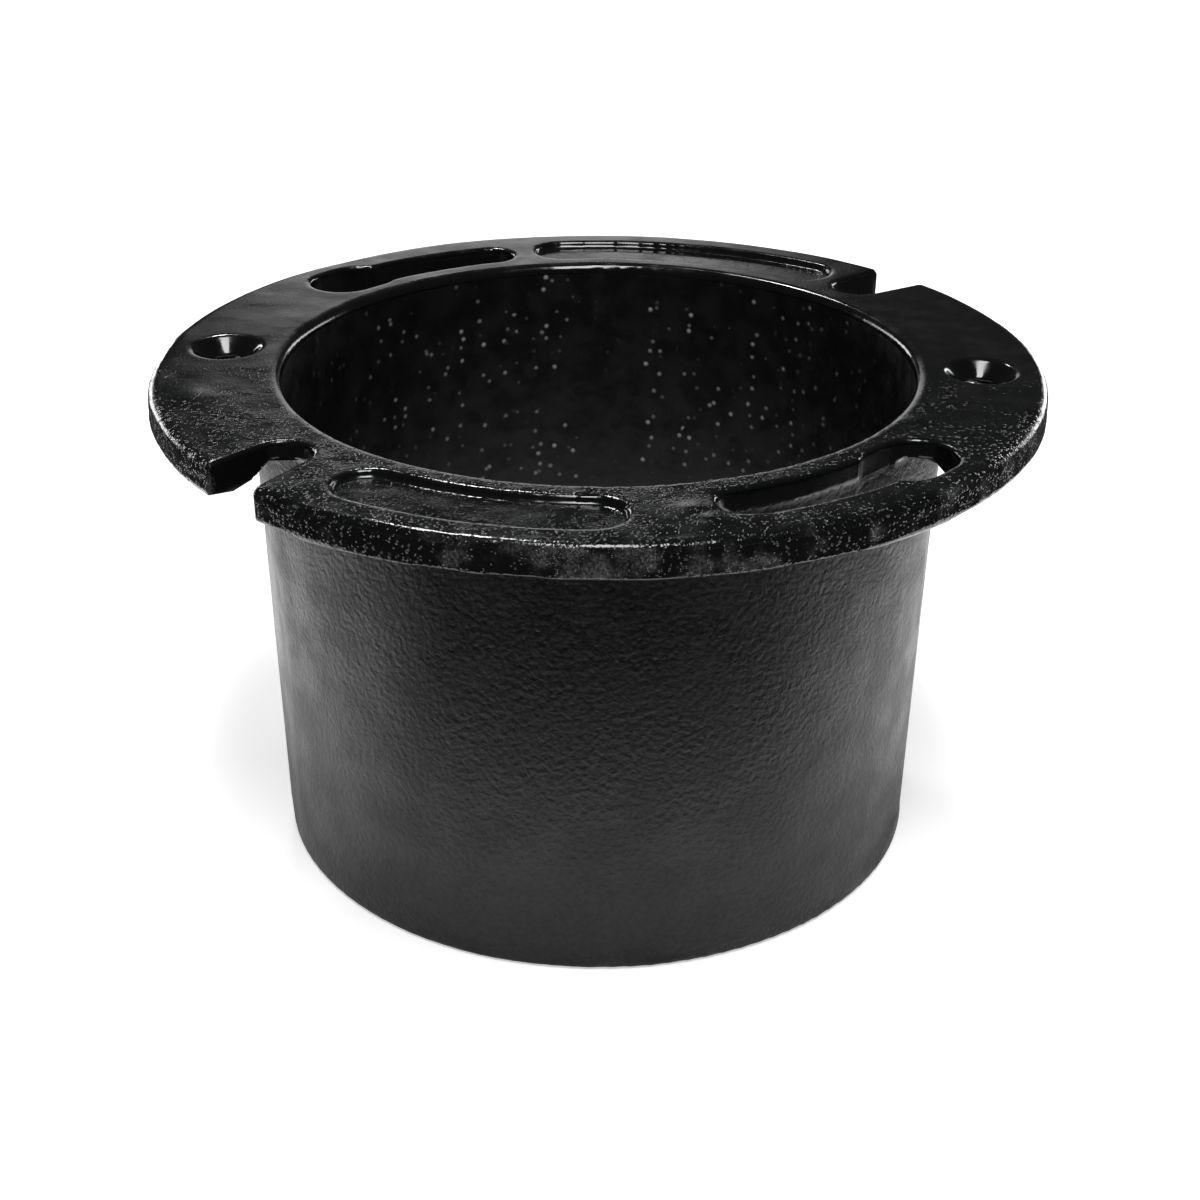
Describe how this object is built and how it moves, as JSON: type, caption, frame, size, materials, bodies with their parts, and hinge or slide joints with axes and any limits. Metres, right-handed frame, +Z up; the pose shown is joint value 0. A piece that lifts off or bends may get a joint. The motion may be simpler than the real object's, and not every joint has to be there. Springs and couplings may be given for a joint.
{
  "type": "closet flange",
  "caption": "Cast iron closet flange: a drafted barrel under a round flange with keyhole bolt slots, open notches, countersunk screw holes and shallow sunk panels.",
  "frame": {"origin": "centre of the barrel's foot, on the axis of the bore", "axes": "+Z up the bore towards the flange, +X to the right and +Y to the back as the picture shows it"},
  "size_m": [0.1784, 0.1784, 0.1008],
  "materials": {
    "painted_iron": "black bituminous coating over sand-cast iron, glossy on the flange and satin on the barrel"
  },
  "bodies": {
    "root": {"closet_flange": "painted_iron"}
  },
  "joints": []
}
